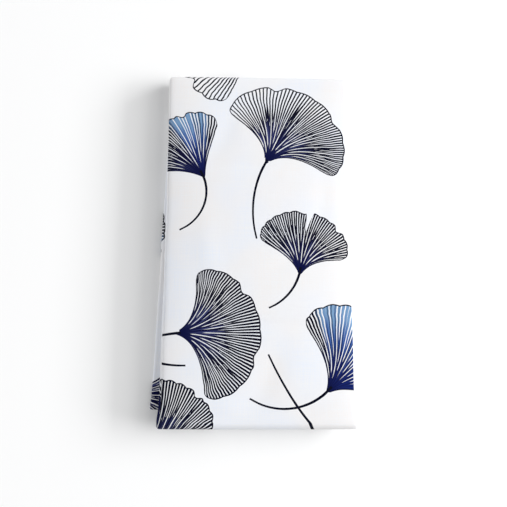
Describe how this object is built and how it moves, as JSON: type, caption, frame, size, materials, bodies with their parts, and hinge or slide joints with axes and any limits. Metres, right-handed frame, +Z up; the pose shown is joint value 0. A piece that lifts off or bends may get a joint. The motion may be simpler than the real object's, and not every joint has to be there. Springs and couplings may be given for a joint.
{
  "type": "furoshiki wrapping cloth",
  "caption": "Square cotton wrapping cloth with a leaf print, folded back and forth into a flat oblong packet that lies on a table.",
  "frame": {"origin": "middle of the packet's footprint, on the surface it lies on", "axes": "+Z up, +Y along the packet towards the end with the wide turn, which is the far end in the picture, and +X towards the doubled edge"},
  "size_m": [0.1354, 0.2462, 0.0152],
  "materials": {
    "printed_cotton": "matt white plain-weave cotton with a dark navy and blue leaf print"
  },
  "bodies": {
    "root": {"folded_cloth": "printed_cotton"}
  },
  "joints": []
}
